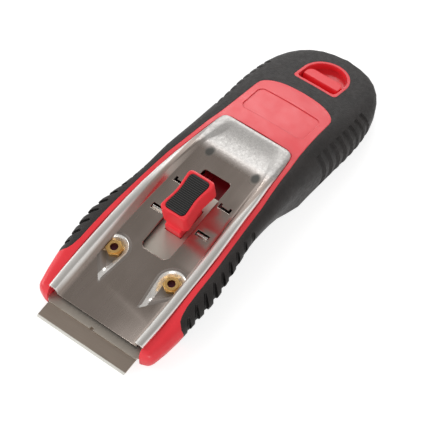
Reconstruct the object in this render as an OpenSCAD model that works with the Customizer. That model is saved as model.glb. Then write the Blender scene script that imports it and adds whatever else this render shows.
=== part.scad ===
// Razor blade scraper. Lengths are in millimetres, +Z is up, and the blade points along +X.
// The origin lies on the ground, midway between the blade's edge and the rear end.

/* [Body] */
// Length from the blade's edge to the rear end
tool_len = 154.4; // [152:0.2:158]
// Width of the grip over its fins beyond the blade's width
grip_out = 19.4; // [19:0.1:21]
// Height of the body's top behind the cover
body_h = 18.1; // [17.6:0.1:19]
// Slope of the deck, in degrees
deck_slope = 9.65; // [9.3:0.05:10]
// Height of the cover's panel over the ground at the blade's edge
deck_rise = 3.6; // [3.5:0.05:4]
// Distance of the nose from the blade's edge
nose_start = 7.5; // [6.5:0.1:8.5]
// Radius of the nose's corners
nose_r = 2.2; // [1.4:0.1:3]
// Height of the joint line between the two shells
split_h = 5; // [4.6:0.1:5.3]
// Distance of the lower shell's front from the blade's edge
lower_start = 44; // [42:0.5:48]
// Thickness of the rubber sleeve
skin_t = 1.8; // [1.4:0.1:2.2]
// Distance of the sleeve's front from the blade's edge
sleeve_start = 22; // [20:0.5:24]
// Depth of the bare badge recess
badge_d = 0.4; // [0.3:0.05:0.8]

/* [Grip fins and ribs] */
// Number of slits that part the fins on each side
slit_count = 9; // [7:1:10]
// Distance of the first fin's tip from the blade's edge
fin_start = 21.7; // [20:0.1:23]
// Distance from the first fin to the next
fin_pitch = 4; // [3.6:0.1:4.2]
// Growth of the distance with each fin
fin_growth = 0.1; // [0.05:0.01:0.12]
// Sweep of the fins, in degrees
fin_sweep = 45; // [35:1:50]
// Width of a slit at its mouth
slit_mouth = 2.2; // [1.6:0.1:2.4]
// Width of a slit at its root
slit_root = 0.9; // [0.5:0.1:1.1]
// Number of shallow ribs on each side of the rear
rib_count = 8; // [6:1:9]
// Distance between the ribs
rib_pitch = 4; // [3.6:0.1:4.2]
// Depth of the grooves between the ribs
rib_d = 0.55; // [0.3:0.05:0.8]

/* [Steel cover] */
// Distance of the cover's front edge from the blade's edge
cover_start = 9.7; // [9:0.1:10.5]
// Length of the cover along the deck
cover_len = 90.5; // [88:0.5:92]
// Widest width of the cover beyond the blade's width
cover_out = 3.4; // [3:0.1:3.8]
// Thickness of the cover's sheet
cover_t = 0.8; // [0.6:0.05:0.85]
// Height of the rim over the panel
rim_h = 3.5; // [3:0.1:3.8]
// Width of the rim from its crest to the outer edge
rim_w = 2.9; // [2.4:0.1:3.2]
// Depth of the rolled outer edge
edge_drop = 1.5; // [1.2:0.1:1.7]
// Radius of the rear corners
cover_corner_r = 2.5; // [2:0.1:3.5]
// Distance of the slot's front from the blade's edge
slot_start = 40.3; // [39:0.1:41]
// Length of the slot
slot_len = 36.7; // [36.7:0.1:38.5]
// Width of the slot
slot_w = 12; // [11.4:0.1:12.4]
// Distance of the nuts from the blade's edge
nut_at = 34.7; // [34:0.1:35.2]
// Distance of each nut from the cover's side
nut_in = 8.3; // [8.2:0.1:8.5]
// Size of the nuts across the flats
nut_af = 5.6; // [5.2:0.1:5.7]
// Bore of the nuts
nut_bore = 3; // [2.6:0.1:3.2]
// Radius of the nut recess
recess_r = 5.3; // [5:0.1:5.6]
// Depth of the nut recess
recess_d = 1.8; // [1.5:0.1:1.9]

/* [Blade and carrier] */
// Width of the blade
blade_w = 38.4; // [36:0.2:39]
// Depth of the blade from its edge to its back
blade_len = 18; // [17:0.1:18.3]
// Thickness of the blade
blade_t = 0.4; // [0.25:0.05:0.45]
// Thickness of the carrier plate
carrier_t = 0.8; // [0.7:0.05:0.85]
// Distance of the carrier's front from the blade's edge
carrier_start = 6.5; // [5.5:0.1:7.5]
// Length of the carrier's wide head
head_len = 6; // [5:0.1:6.2]
// Width of the carrier's head beyond the blade's width
head_out = 1.2; // [0.8:0.1:1.4]
// Width of the carrier's tongue
tongue_w = 12.6; // [12.2:0.1:12.8]
// Travel from the open to the stowed blade
stow_travel = 13; // [12:0.1:13]
// Travel forward to change the blade
change_travel = 10.5; // [8:0.1:10.5]

/* [Button] */
// Distance of the button's stem from the blade's edge
stem_start = 51; // [50.9:0.05:51.5]
// Length of the stem
stem_len = 12.5; // [11.5:0.1:12.6]
// Width of the stem
stem_w = 6.8; // [6:0.1:7.2]
// Length of the button
button_len = 19.5; // [18:0.1:20.5]
// Width of the button at its ends
button_w = 11.2; // [10.4:0.1:11.6]
// Width of the button at its waist
waist_w = 9.4; // [8.6:0.1:10]
// Height of the button over the panel
button_h = 9.8; // [8.5:0.1:10.5]
// Travel of the button when it is pressed
press_travel = 1; // [0.9:0.05:1.05]
// Number of grooves across the pad
pad_grooves = 19; // [12:1:22]

/* [Handle and spare blades] */
// Distance of the rear window from the blade's edge
window_start = 132.2; // [131.8:0.1:132.6]
// Length of the rear window
window_len = 16.6; // [16:0.1:17]
// Width of the rear window over its bezel
window_w = 18.8; // [18:0.1:19.2]
// Width of the window's bezel
bezel_w = 1.1; // [0.8:0.1:1.3]
// Travel of the latch
latch_travel = 2.5; // [2.2:0.1:2.6]
// Distance of the blade bay from the blade's edge
bay_start = 92.6; // [92:0.1:93]
// Length of the blade bay
bay_len = 38.4; // [38:0.1:38.8]
// Width of the blade bay beyond the blade's width
bay_out = 2; // [1.6:0.1:2.4]
// Height of the bay's ceiling over the ground
bay_h = 9; // [8.6:0.1:9.4]
// Thickness of the storage door
door_t = 1.6; // [1.3:0.1:1.8]
// Radius of the door's hinge pin
pin_r = 1; // [0.8:0.05:1.1]
// Radius of a shell screw's thread
shell_screw_r = 1.2; // [1:0.05:1.4]
// Distance of the front shell screws from the blade's edge
screw_front_at = 50; // [48:0.5:54]
// Distance of the rear shell screws from the blade's edge
screw_rear_at = 136.5; // [136:0.1:137]

/* [Clearances] */
// Gap between pieces that slide past each other
slide_gap = 0.3; // [0.25:0.01:0.35]
// Gap between pieces that rest on each other
seat_gap = 0.05; // [0.02:0.01:0.06]
// Gap round a shaft that turns in its hole
run_gap = 0.05; // [0.03:0.01:0.08]

/* [Hidden] */
$fn = 48;
hull_sides = 32;
overrun = 1;
half_len = tool_len / 2;
tool_w = blade_w + grip_out;
half_w = tool_w / 2;
cover_w = blade_w + cover_out;
nut_spacing = cover_w - 2 * nut_in;
head_w = blade_w + head_out;
bay_w = blade_w + bay_out;

// Outline of the body: distance from the blade's edge as a share of tool_len, then the value's share
side_shares = [[0.0482, 0.85], [0.0847, 0.905], [0.1359, 0.928], [0.1821, 0.895], [0.256, 0.892], [0.3278, 0.86],
    [0.4017, 0.835], [0.4922, 0.846], [0.5907, 0.831], [0.6891, 0.85], [0.7708, 0.869]];
fin_shares = [[0.1181, 0], [0.1683, 0.062], [0.2264, 0.1], [0.2756, 0.098], [0.3249, 0.076], [0.3741, 0.045], [0.4233, 0.015],
    [0.4725, 0]];
flat_shares = [[0.0482, 0.78], [0.1359, 0.818], [0.2264, 0.806], [0.2914, 0.794], [0.3564, 0.768], [0.4213, 0.74],
    [0.4853, 0.711], [0.5444, 0.664], [0.5956, 0.638], [0.6478, 0.599], [0.7127, 0.573], [0.7708, 0.562]];
top_shares = [[0.0482, 0.375], [0.065, 0.405], [0.1299, 0.525], [0.2264, 0.702], [0.2914, 0.779], [0.3564, 0.851],
    [0.4213, 0.917], [0.4853, 0.967], [0.5503, 1.003], [0.5956, 1.013], [0.6478, 1.004], [0.6999, 0.985],
    [0.7679, 0.923], [0.8132, 0.851], [0.8614, 0.745], [0.9451, 0.58], [0.9648, 0.53], [1, 0.44]];
crown_shares = [[0.0482, 0.01], [0.3938, 0.012], [0.5415, 0.033], [0.6497, 0.05], [0.7876, 0.05], [0.8565, 0.03], [1, 0.02]];
wide_shares = [[0.0482, 0.2], [0.1359, 0.36], [0.2264, 0.535], [0.2884, 0.646], [0.3623, 0.674], [0.4332, 0.729],
    [0.4991, 0.745], [0.5867, 0.635], [0.6369, 0.558], [0.6931, 0.448], [0.7876, 0.41], [0.9057, 0.41], [1, 0.4]];
base_shares = [[0.8663, 0], [0.9155, 0.03], [0.95, 0.11], [0.9697, 0.22], [1, 0.37]];
rear_share = 0.7708;
rear_power = 2.5;
rear_flat_share = 0.64;
side_powers = [[0.049, 0.9], [0.12, 1.2], [0.2, 1.5], [0.5, 1.5], [0.6, 1.4], [0.7, 1.2], [0.8, 1], [1, 0.9]];
foot_insets = [[0.049, 0.082], [0.1, 0.1], [0.15, 0.112], [0.21, 0.118], [0.28, 0.128], [0.335, 0.145],
    [0.395, 0.2], [0.465, 0.222], [0.53, 0.185], [0.592, 0.057], [0.648, 0.062], [0.7, 0.072],
    [0.77, 0.088], [0.85, 0.076], [1, 0.06]];
flat_most_share = 0.95;
wide_least_share = 0.15;
crown_steps = 2;
shoulder_steps = 5;
side_steps = 5;
body_step = 5;
rear_steps = 10;
nose_steps = 3;

// A smooth curve through the points of a table of pairs
function slope_at(table, i) =
    let (a = table[max(i - 1, 0)], b = table[min(i + 1, len(table) - 1)])
    (b[1] - a[1]) / (b[0] - a[0]);
function curve_in(table, i, t) =
    let (a = table[i], b = table[i + 1], h = b[0] - a[0], u = (t - a[0]) / h)
    a[1] * (1 + 2 * u) * (1 - u) * (1 - u) + slope_at(table, i) * h * u * (1 - u) * (1 - u)
    + b[1] * u * u * (3 - 2 * u) + slope_at(table, i + 1) * h * u * u * (u - 1);
function curve(table, t) =
    t <= table[0][0] ? table[0][1] :
    t >= table[len(table) - 1][0] ? table[len(table) - 1][1] :
    curve_in(table, max([for (i = [0 : len(table) - 2]) if (table[i][0] <= t) i]), t);

// How far a rounded corner of radius r has drawn in at the distance d from its end
function corner_in(d, r) = d >= r ? 0 : r - sqrt(max(0, r * r - pow(r - max(d, 0), 2)));

rear_start = rear_share * tool_len;
rear_w = half_w * curve(side_shares, rear_share);
rear_flat = half_w * curve(flat_shares, rear_share);
function side_w(s) =
    s > rear_start
    ? rear_w * pow(max(0, 1 - pow((s - rear_start) / (tool_len - rear_start), rear_power)), 1 / rear_power)
    : half_w * curve(side_shares, s / tool_len) - corner_in(s - nose_start, nose_r);
function fin_w(s) = half_w * curve(fin_shares, s / tool_len);
function flat_w(s) =
    s > rear_start ? min(rear_flat, rear_flat_share * side_w(s)) : half_w * curve(flat_shares, s / tool_len);
function top_z(s) = body_h * curve(top_shares, s / tool_len) - corner_in(s - nose_start, nose_r);
function crown_z(s) = body_h * curve(crown_shares, s / tool_len);
function wide_z(s) = body_h * curve(wide_shares, s / tool_len);
function base_z(s) = body_h * curve(base_shares, s / tool_len);

// Half of the body's outline at the distance s, from the top's middle round to the foot
function foot_y(s) = side_w(s) - min(half_w * curve(foot_insets, s / tool_len), side_w(s) / 2);
function body_half(s, inset) =
    let (power = curve(side_powers, s / tool_len), w = side_w(s) + fin_w(s) - inset, flat = min(flat_w(s), flat_most_share * w) - inset / 2,
        foot = foot_y(s) - inset, top = top_z(s) - inset, edge = top - crown_z(s), low = base_z(s),
        wide_share = max(wide_least_share, min(1 - wide_least_share, (wide_z(s) - low) / (edge - low))),
        wide = low + (edge - low) * wide_share)
    concat(
        [for (i = [0 : crown_steps]) [s, flat * i / crown_steps, top - crown_z(s) * pow(i / crown_steps, 2)]],
        [for (i = [1 : shoulder_steps]) let (a = 90 * i / shoulder_steps)
            [s, flat + (w - flat) * sin(a), wide + (edge - wide) * cos(a)]],
        [for (i = [1 : side_steps]) let (a = 90 * i / side_steps)
            [s, foot + (w - foot) * pow(max(cos(a), 0), power),
            low + (wide - low) * (1 - pow(sin(a), power))]]);
function mirrored(half) = [for (i = [len(half) - 1 : -1 : 1]) [half[i][0], -half[i][1], half[i][2]]];

// Faces that close the end of a ring made of a half and its mirror image
function paired_cap(n) = concat([[0, 1, n - 1]], [for (i = [1 : (n - 3) / 2]) [i, i + 1, n - i - 1, n - i]]);

// A solid through rings of as many points each, closed by the faces of the cap
module loft(rings, cap) {
    n = len(rings[0]);
    m = len(rings);
    polyhedron(
        points = [for (ring = rings) each ring],
        faces = concat(
            [for (face = cap) [for (i = [len(face) - 1 : -1 : 0]) face[i]]],
            [for (face = cap) [for (i = face) (m - 1) * n + i]],
            [for (j = [0 : m - 2], i = [0 : n - 1]) let (k = (i + 1) % n)
                each [[j * n + i, (j + 1) * n + k, (j + 1) * n + i], [j * n + i, j * n + k, (j + 1) * n + k]]]),
        convexity = 10);
}

// Stations along the body: close together where it is rounded off
nose_stations = [for (i = [0 : nose_steps]) nose_start + nose_r * i / nose_steps];
mid_count = floor((rear_start - nose_start - 2 * nose_r) / body_step);
mid_stations = [for (i = [1 : mid_count]) nose_start + nose_r + (rear_start - nose_start - nose_r) * i / mid_count];
function rear_stations(end) = [for (i = [1 : rear_steps]) rear_start + (end - rear_start) * sin(90 * i / rear_steps)];

module outer_body() {
    stations = concat(nose_stations, mid_stations, rear_stations(tool_len - seat_gap));
    rings = [for (s = stations) let (half = body_half(s, 0)) concat(half, mirrored(half))];
    loft(rings, paired_cap(len(rings[0])));
}
function both(points) =
    concat(points, [for (i = [len(points) - 1 : -1 : 0]) if (points[i][1] > 0) [points[i][0], -points[i][1]]]);

// Core that the shells form inside the sleeve: upright walls under a top that follows the body
core_steps = 24;
shoulder_share = 0.8;
rear_skin_share = 1.4;
core_end = tool_len - rear_skin_share * skin_t;
core_stations = concat([for (i = [0 : core_steps]) sleeve_start - overrun
    + (rear_start - sleeve_start + overrun) * i / core_steps], rear_stations(core_end));
function core_y(s) = foot_y(s) - skin_t;
function core_z(s) =
    let (edge = top_z(s) - crown_z(s))
    wide_z(s) + (edge - wide_z(s)) * shoulder_share - skin_t;
module core_body(drop) {
    intersection() {
        translate([0, 0, -2 * overrun]) linear_extrude(2 * body_h)
            polygon(both([for (s = core_stations) [s, core_y(s)]]));
        translate([0, tool_w, 0]) rotate([90, 0, 0]) linear_extrude(2 * tool_w)
            polygon(concat([for (s = core_stations) [s, core_z(s)]],
                [for (i = [len(core_stations) - 1 : -1 : 0]) [core_stations[i], base_z(core_stations[i]) - drop]]));
    }
}

// Frames: x runs rearward from the blade's edge, along the ground or along the deck
module ground_frame() {
    translate([half_len, 0, 0]) rotate([0, 0, 180]) children();
}
module deck_frame() {
    translate([half_len, 0, deck_rise]) rotate([0, -deck_slope, 180]) children();
}
module both_sides() {
    children();
    mirror([0, 1, 0]) children();
}
// A box from its low corner in x and z, across the middle
module slab(x, z, size) {
    translate([x, -size[1] / 2, z]) cube(size);
}

// Red area of the top, where the shells show through the sleeve
red_low = split_h + skin_t;
strip_run = 7;
red_end = 126;
red_power = 2.4;
red_side_steps = 14;
red_steps = 8;
red_shares = [[0, 1], [0.15, 0.55], [0.45, 0.2], [1, 0]];
strip_in = 0.15;
function red_y(s) = flat_w(s) - strip_in
    + (side_w(sleeve_start) - flat_w(sleeve_start)) * curve(red_shares, (s - sleeve_start) / strip_run);
function red_side() = concat(
    [for (i = [0 : 4]) let (s = sleeve_start + strip_run * i / 4) [s, red_y(s)]],
    [for (i = [1 : red_side_steps]) let (s = sleeve_start + strip_run
        + (rear_start - sleeve_start - strip_run) * i / red_side_steps) [s, red_y(s)]]);
function red_rear() = [for (i = [1 : red_steps]) let (a = 90 * i / red_steps)
    [rear_start + (red_end - rear_start) * pow(sin(a), 2 / red_power),
    (rear_flat - strip_in) * pow(max(cos(a), 0), 2 / red_power)]];
window_mid_share = 0.42;
window_mid = window_start + window_mid_share * window_len;
window_corner = 1.5;
window_steps = 14;
module window_outline(inset) {
    front = window_start + inset;
    side = window_w / 2 - inset;
    rear = window_start + window_len - inset;
    polygon(both(concat(
        [for (i = [0 : 4]) let (a = 90 * i / 4)
            [front + window_corner * (1 - cos(a)), side - window_corner * (1 - sin(a))]],
        [for (i = [0 : window_steps]) let (a = 90 * i / window_steps)
            [window_mid + (rear - window_mid) * sin(a), side * cos(a)]])));
}
module red_area() {
    translate([0, 0, -overrun]) linear_extrude(body_h + 2 * overrun)
        translate([0, -tool_w]) square([sleeve_start, 2 * tool_w]);
    translate([0, 0, red_low]) linear_extrude(body_h) {
        polygon(both(concat([[sleeve_start - overrun, side_w(sleeve_start)]], red_side(), red_rear())));
        window_outline(0);
    }
}
module shell_solid() {
    intersection() {
        outer_body();
        union() {
            core_body(overrun);
            red_area();
        }
    }
}

// Cover: heights over the panel and half widths along the deck
cover_end = cover_start + cover_len;
function cover_share(s) = (s - cover_start) / cover_len;
edge_shares = [[0, 0.982], [0.11, 1], [0.28, 0.995], [0.39, 0.986], [0.5, 0.962], [0.61, 0.923], [0.72, 0.883],
    [0.82, 0.828], [0.91, 0.78], [1, 0.722]];
foot_shares = [[0, 0.761], [0.28, 0.737], [0.41, 0.713], [0.61, 0.665], [0.72, 0.627], [0.84, 0.6], [0.87, 0.56],
    [0.92, 0.48], [0.97, 0.4], [1, 0.36]];
rim_shares = [[0, 1], [0.55, 1], [0.63, 0.89], [0.72, 0.59], [0.82, 0.27], [0.89, -0.03], [1, -0.44]];
scoop_shares = [[0, 0], [0.838, 0], [0.85, -0.03], [0.87, -0.22], [0.9, -0.44], [0.93, -0.54], [0.96, -0.5],
    [0.98, -0.4], [1, -0.44]];
wall_shares = [[0, 0], [0.3, 0.12], [0.72, 0.86], [1, 1]];
wall_first = 2;
roll_r = 1;
function edge_y(s) = cover_w / 2 * curve(edge_shares, cover_share(s)) - corner_in(cover_end - s, cover_corner_r);
function crest_y(s) = edge_y(s) - rim_w;
function panel_y(s) = min(cover_w / 2 * curve(foot_shares, cover_share(s)), crest_y(s) - cover_t);
function rim_z(s) = rim_h * curve(rim_shares, cover_share(s)) - corner_in(cover_end - s, roll_r);
function panel_z(s) = min(rim_h * curve(scoop_shares, cover_share(s)), rim_z(s));
function cover_line(s) =
    let (f = panel_y(s), c = crest_y(s), e = edge_y(s), p = panel_z(s), r = rim_z(s))
    concat(
        [[0, p], [f / 2, p]],
        [for (w = wall_shares) [f + (c - f) * w[0], p + (r - p) * w[1]]],
        [[e - roll_r, r], [e - roll_r * (1 - sin(45)), r - roll_r * (1 - cos(45))], [e, r - roll_r],
        [e, r - edge_drop]]);
function side_of(line, i) =
    let (d = line[min(i + 1, len(line) - 1)] - line[max(i - 1, 0)])
    [d[1], -d[0]] / norm(d);
function under_of(line, i) =
    line[i] + cover_t * (i < wall_first ? [0, -1] : i < wall_first + len(wall_shares) ? [1, -1] : side_of(line, i));
function cover_ring(s) =
    let (line = cover_line(s), n = len(line), under = [for (i = [0 : n - 1]) under_of(line, i)])
    [for (p = concat(line, [for (i = [n - 1 : -1 : 0]) under[i]],
        [for (i = [1 : n - 1]) [-under[i][0], under[i][1]]],
        [for (i = [n - 1 : -1 : 1]) [-line[i][0], line[i][1]]])) [s, p[0], p[1]]];
cover_points = len(cover_line(cover_start));
cover_cap = let (n = cover_points) concat(
    [for (i = [0 : n - 2]) [i, i + 1, 2 * n - 2 - i, 2 * n - 1 - i]],
    [for (i = [0 : n - 2]) [2 * n - 1 + i, 2 * n + i, 4 * n - 3 - i, (4 * n - 2 - i) % (4 * n - 2)]]);
scoop_share = 0.82;
cover_front_steps = 9;
cover_rear_steps = 11;
cover_stations = concat(
    [for (i = [0 : cover_front_steps - 1]) cover_start + scoop_share * cover_len * i / cover_front_steps],
    [for (i = [0 : cover_rear_steps - 1])
        cover_start + cover_len * (scoop_share + (1 - scoop_share) * i / cover_rear_steps)],
    [cover_end - cover_corner_r / 4, cover_end - cover_corner_r / 20, cover_end]);

// The hollow in the body that the cover lies in: one step for the rim, a deeper one for the panel
seat_stations = concat([cover_start - 2 * overrun], cover_stations, [cover_end + slide_gap]);
function rim_seat(s) = rim_z(min(s, cover_end)) - edge_drop - seat_gap;
function panel_seat(s) = min(panel_z(min(s, cover_end)) - cover_t, rim_seat(s)) - seat_gap;
module seat_step(half, low) {
    intersection() {
        translate([0, 0, -2 * body_h]) linear_extrude(4 * body_h) polygon(both(half));
        translate([0, tool_w, 0]) rotate([90, 0, 0]) linear_extrude(2 * tool_w)
            polygon(concat(low, [[cover_end + 2 * overrun, body_h], [cover_start - 3 * overrun, body_h]]));
    }
}
module cover_seat() {
    seat_step([for (s = seat_stations) [s, edge_y(min(s, cover_end)) + slide_gap]],
        [for (s = seat_stations) [s, rim_seat(s)]]);
    seat_step([for (s = seat_stations) [s, crest_y(min(s, cover_end)) + cover_t + seat_gap]],
        [for (s = seat_stations) [s, panel_seat(s)]]);
}

// Nut recess of the cover, grown by the sheet for its outer side
recess_tip = 12;
recess_skew = 0.7;
recess_side_share = 0.745;
recess_side = cover_w / 2 * recess_side_share;
floor_share = 0.7;
module nut_recess(grow, top, rise) {
    intersection() {
        hull() {
            translate([nut_at, nut_spacing / 2, -recess_d - floor_share * grow])
                cylinder(r = recess_r - cover_t / 2 + grow, h = seat_gap, $fn = hull_sides);
            translate([nut_at, nut_spacing / 2, top]) cylinder(r = recess_r + grow, h = rise, $fn = hull_sides);
            translate([nut_at - recess_tip, nut_spacing / 2 - recess_r * recess_skew, top])
                cylinder(r = seat_gap + grow, h = rise, $fn = hull_sides);
        }
        slab(0, -2 * recess_d, [tool_len, 2 * (recess_side + grow), 4 * recess_d]);
    }
}

// Lock: windows of the cover and the bar of the spring below them
ear_at = 55.35;
ear_len = 1.7;
ear_in = 7.5;
ear_out = 12;
window_gap = 0.3;
hook_len = 0.95;
hook_w = 1;
module lock_window(at, hooks) {
    both_sides() {
        translate([at - ear_len / 2 - window_gap, ear_in - window_gap, -overrun])
            cube([hooks ? hook_w : ear_len + 2 * window_gap, ear_out - ear_in + 2 * window_gap, 2 * overrun]);
        if (hooks)
            for (y = [ear_in - window_gap, ear_out + window_gap - hook_w])
                translate([at - ear_len / 2 - window_gap, y, -overrun]) cube([hook_w + hook_len, hook_w, 2 * overrun]);
    }
}
slot_r = 2.6;
slot_rear_r = 1.3;
module slot_cut() {
    translate([0, 0, -overrun]) linear_extrude(2 * overrun) hull() {
        for (y = [-1, 1]) {
            translate([slot_start + slot_r, y * (slot_w / 2 - slot_r)]) circle(slot_r);
            translate([slot_start + slot_len - slot_rear_r, y * (slot_w / 2 - slot_rear_r)]) circle(slot_rear_r);
        }
    }
}

module steel_cover() {
    color([0.72, 0.7, 0.68]) deck_frame() difference() {
        union() {
            loft([for (s = cover_stations) cover_ring(s)], cover_cap);
            both_sides() nut_recess(cover_t, -cover_t / 2, seat_gap);
        }
        both_sides() {
            nut_recess(0, 0, overrun);
            translate([nut_at, nut_spacing / 2, -4 * recess_d]) cylinder(r = nut_bore / 2, h = 8 * recess_d);
        }
        slot_cut();
        lock_window(ear_at, false);
        lock_window(ear_at + stow_travel, true);
    }
}

// Nuts: a hexagon with a round collar
collar_h = 0.6;
collar_t = 1;
module cover_nuts() {
    color([0.85, 0.68, 0.35]) deck_frame() both_sides() translate([nut_at, nut_spacing / 2, -recess_d])
        difference() {
            union() {
                cylinder(r = nut_af / sqrt(3), h = recess_d - collar_h / 2, $fn = 6);
                cylinder(r = nut_bore / 2 + collar_t, h = recess_d + collar_h / 2);
            }
            translate([0, 0, -overrun]) cylinder(r = nut_bore / 2, h = recess_d + 2 * overrun);
        }
}

// Screws that rise through the body into the nuts
cover_screw_r = nut_bore / 2 - run_gap;
screw_head_r = 2.8;
screw_head_h = 1.6;
screw_head_in = 0.5;
screw_rise = nut_at * sin(deck_slope) + deck_rise;
head_seat = -(screw_rise / cos(deck_slope)) + screw_head_h + 2 * screw_head_in;
module screw_bore(r) {
    translate([nut_at, nut_spacing / 2, -2 * body_h]) cylinder(r = r, h = 2 * body_h);
}
module cover_screw_holes() {
    both_sides() {
        screw_bore(cover_screw_r + run_gap);
        translate([nut_at, nut_spacing / 2, head_seat - 2 * body_h])
            cylinder(r = screw_head_r + slide_gap, h = 2 * body_h);
    }
}
module cover_screws() {
    color([0.6, 0.6, 0.62]) deck_frame() both_sides() translate([nut_at, nut_spacing / 2, 0]) {
        translate([0, 0, head_seat - screw_head_h / 2]) cylinder(r = cover_screw_r, h = screw_head_h / 2 - head_seat - collar_h);
        translate([0, 0, head_seat - screw_head_h - seat_gap]) difference() {
            cylinder(r = screw_head_r, h = screw_head_h);
            for (a = [0, 90]) rotate([0, 0, a])
                slab(-slot_share * screw_head_r, -overrun,
                    [2 * slot_share * screw_head_r, screw_head_r / 4, overrun + screw_head_h / 3]);
        }
    }
}

// Heights along the deck's normal, from the panel down
carrier_gap = 1.1;
carrier_top = -cover_t - carrier_gap;
carrier_low = carrier_top - carrier_t;
blade_top = carrier_low - seat_gap;
blade_low = blade_top - blade_t;
leaf_t = 0.4;
clamp_t = 0.4;
clamp_low = blade_low - 2 * seat_gap - clamp_t;
leaf_low = carrier_low - seat_gap - leaf_t;
trough_low = -4.4;
groove_low = -5.4;
trough_w = head_w + 2 * slide_gap;
blade_play = 0.7;
wide_end = blade_len + stow_travel + blade_play;
ear_play = 2.4;
channel_end = ear_at - ear_len / 2 - change_travel - ear_play;
rear_trough_w = 26;
trough_end = 86.3;

module trough() {
    slab(-overrun, trough_low, [wide_end + overrun, trough_w, body_h]);
    slab(-overrun, -body_h, [cover_start + slide_gap + overrun, trough_w, body_h]);
    slab(wide_end - overrun, trough_low,
        [channel_end - wide_end + 2 * overrun, tongue_w + 2 * slide_gap, body_h]);
    slab(channel_end, trough_low, [trough_end - channel_end, rear_trough_w, body_h / 2]);
    slab(channel_end + slide_gap, groove_low, [trough_end - channel_end - 2 * slide_gap, stem_w, body_h / 2]);
    both_sides() translate([wide_end - overrun, tongue_w / 2, -floor_share * cover_t - recess_d - seat_gap])
        cube([channel_end - wide_end + overrun, recess_side + cover_t + slide_gap - tongue_w / 2, body_h]);
}
rail_w = 1.2;
rail_play = 2;
rails = [[wide_end + slide_gap, channel_end - slide_gap],
    [ear_at + ear_len / 2 + stow_travel + rail_play, trough_end - rail_play]];
module carrier_rails() {
    both_sides() for (rail = rails) translate([rail[0], tongue_w / 2 - rail_w, trough_low - overrun])
        cube([rail[1] - rail[0], rail_w, carrier_low - seat_gap - trough_low + overrun]);
}

// Screws that join the shells
shell_head_r = 2.4;
shell_head_h = 1.5;
shell_head_in = 1;
slot_share = 0.6;
screw_cover = 0.6;
shell_screw_len = core_z(screw_rear_at) - shell_head_in - shell_head_h - screw_cover;
screw_front_y = 16;
screw_rear_y = 12.5;
shell_screw_places = [[screw_front_at, screw_front_y], [screw_rear_at, screw_rear_y]];
module shell_screw_holes() {
    both_sides() for (p = shell_screw_places) translate([p[0], p[1], -overrun]) {
        cylinder(r = shell_screw_r + run_gap, h = shell_head_in + shell_head_h + shell_screw_len + overrun);
        cylinder(r = shell_head_r + slide_gap, h = shell_head_in + shell_head_h + overrun);
    }
}
module shell_screws() {
    color([0.5, 0.5, 0.52]) ground_frame() both_sides() for (p = shell_screw_places)
        translate([p[0], p[1], shell_head_in - seat_gap]) difference() {
            union() {
                cylinder(r = shell_head_r, h = shell_head_h);
                translate([0, 0, shell_head_h / 2])
                    cylinder(r = shell_screw_r, h = shell_head_h / 2 + shell_screw_len - 2 * seat_gap);
            }
            for (a = [0, 90]) rotate([0, 0, a])
                slab(-slot_share * shell_head_r, -overrun,
                    [2 * slot_share * shell_head_r, shell_head_r / 4, overrun + shell_head_h / 3]);
        }
}

// Rear latch: a bar in the window, a stem and a foot under the door's lip
latch_half = window_w / 2 - bezel_w - 2 * slide_gap;
bar_share = 0.26;
bar_front = window_start + bar_share * window_len;
bar_len = 4.5;
bar_low = 7.1;
bar_slope = 1.6;
bar_corner_r = 2.5;
latch_stem_w = 9.2;
latch_stem_in = 2.3;
latch_stem_at = window_start + latch_stem_in;
latch_stem_len = 4;
foot_reach = 3.1;
foot_low = 0.5;
foot_t = 1.2;
chamber_start = bay_start + bay_len - overrun;
chamber_end = latch_stem_at + latch_stem_len + latch_travel + slide_gap;
spring_r = 1.5;
spring_wire = 0.3;
spring_z = 4.2;
spring_pocket = 4;
spring_seat = chamber_end + spring_pocket;
bar_sunk = 0.5;
bar_top = body_h * curve(top_shares, (bar_front + bar_len / 2) / tool_len) - bar_sunk;
bar_tilt = atan(body_h * (curve(top_shares, window_start / tool_len)
    - curve(top_shares, (window_start + window_len) / tool_len)) / window_len);
module latch_chamber() {
    slab(chamber_start, -overrun, [chamber_end - chamber_start, latch_stem_w + 2 * slide_gap, bar_low + overrun]);
    translate([chamber_end - overrun, 0, spring_z]) rotate([0, 90, 0])
        cylinder(r = spring_r + spring_wire + slide_gap, h = spring_seat - chamber_end + overrun);
}
module window_cavity() {
    translate([0, 0, bar_low - seat_gap]) linear_extrude(body_h) window_outline(bezel_w);
}
module door_latch() {
    color([0.82, 0.16, 0.2]) ground_frame() {
        intersection() {
            translate([0, 0, bar_low]) linear_extrude(body_h) hull() {
                translate([bar_front - bar_slope, -latch_half]) square([bar_slope, 2 * latch_half]);
                for (y = [-1, 1]) translate([bar_front + bar_len - bar_corner_r, y * (latch_half - bar_corner_r)])
                    circle(bar_corner_r);
            }
            translate([0, latch_half, 0]) rotate([90, 0, 0]) linear_extrude(2 * latch_half) polygon([
                [bar_front - bar_slope, 0],
                [bar_front - bar_slope, bar_low + bar_slope / 2],
                [bar_front, bar_top + bar_len / 2 * tan(bar_tilt)],
                [bar_front + bar_len, bar_top - bar_len / 2 * tan(bar_tilt)],
                [bar_front + bar_len, 0]]);
        }
        slab(latch_stem_at, foot_low, [latch_stem_len, latch_stem_w, bar_low - foot_low + overrun / 2]);
        slab(latch_stem_at - foot_reach, foot_low, [foot_reach + overrun / 2, latch_stem_w, foot_t]);
        translate([latch_stem_at + latch_stem_len - overrun / 2, 0, spring_z]) rotate([0, 90, 0])
            cylinder(r = spring_r - 2 * spring_wire, h = overrun + overrun / 2);
    }
}

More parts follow.
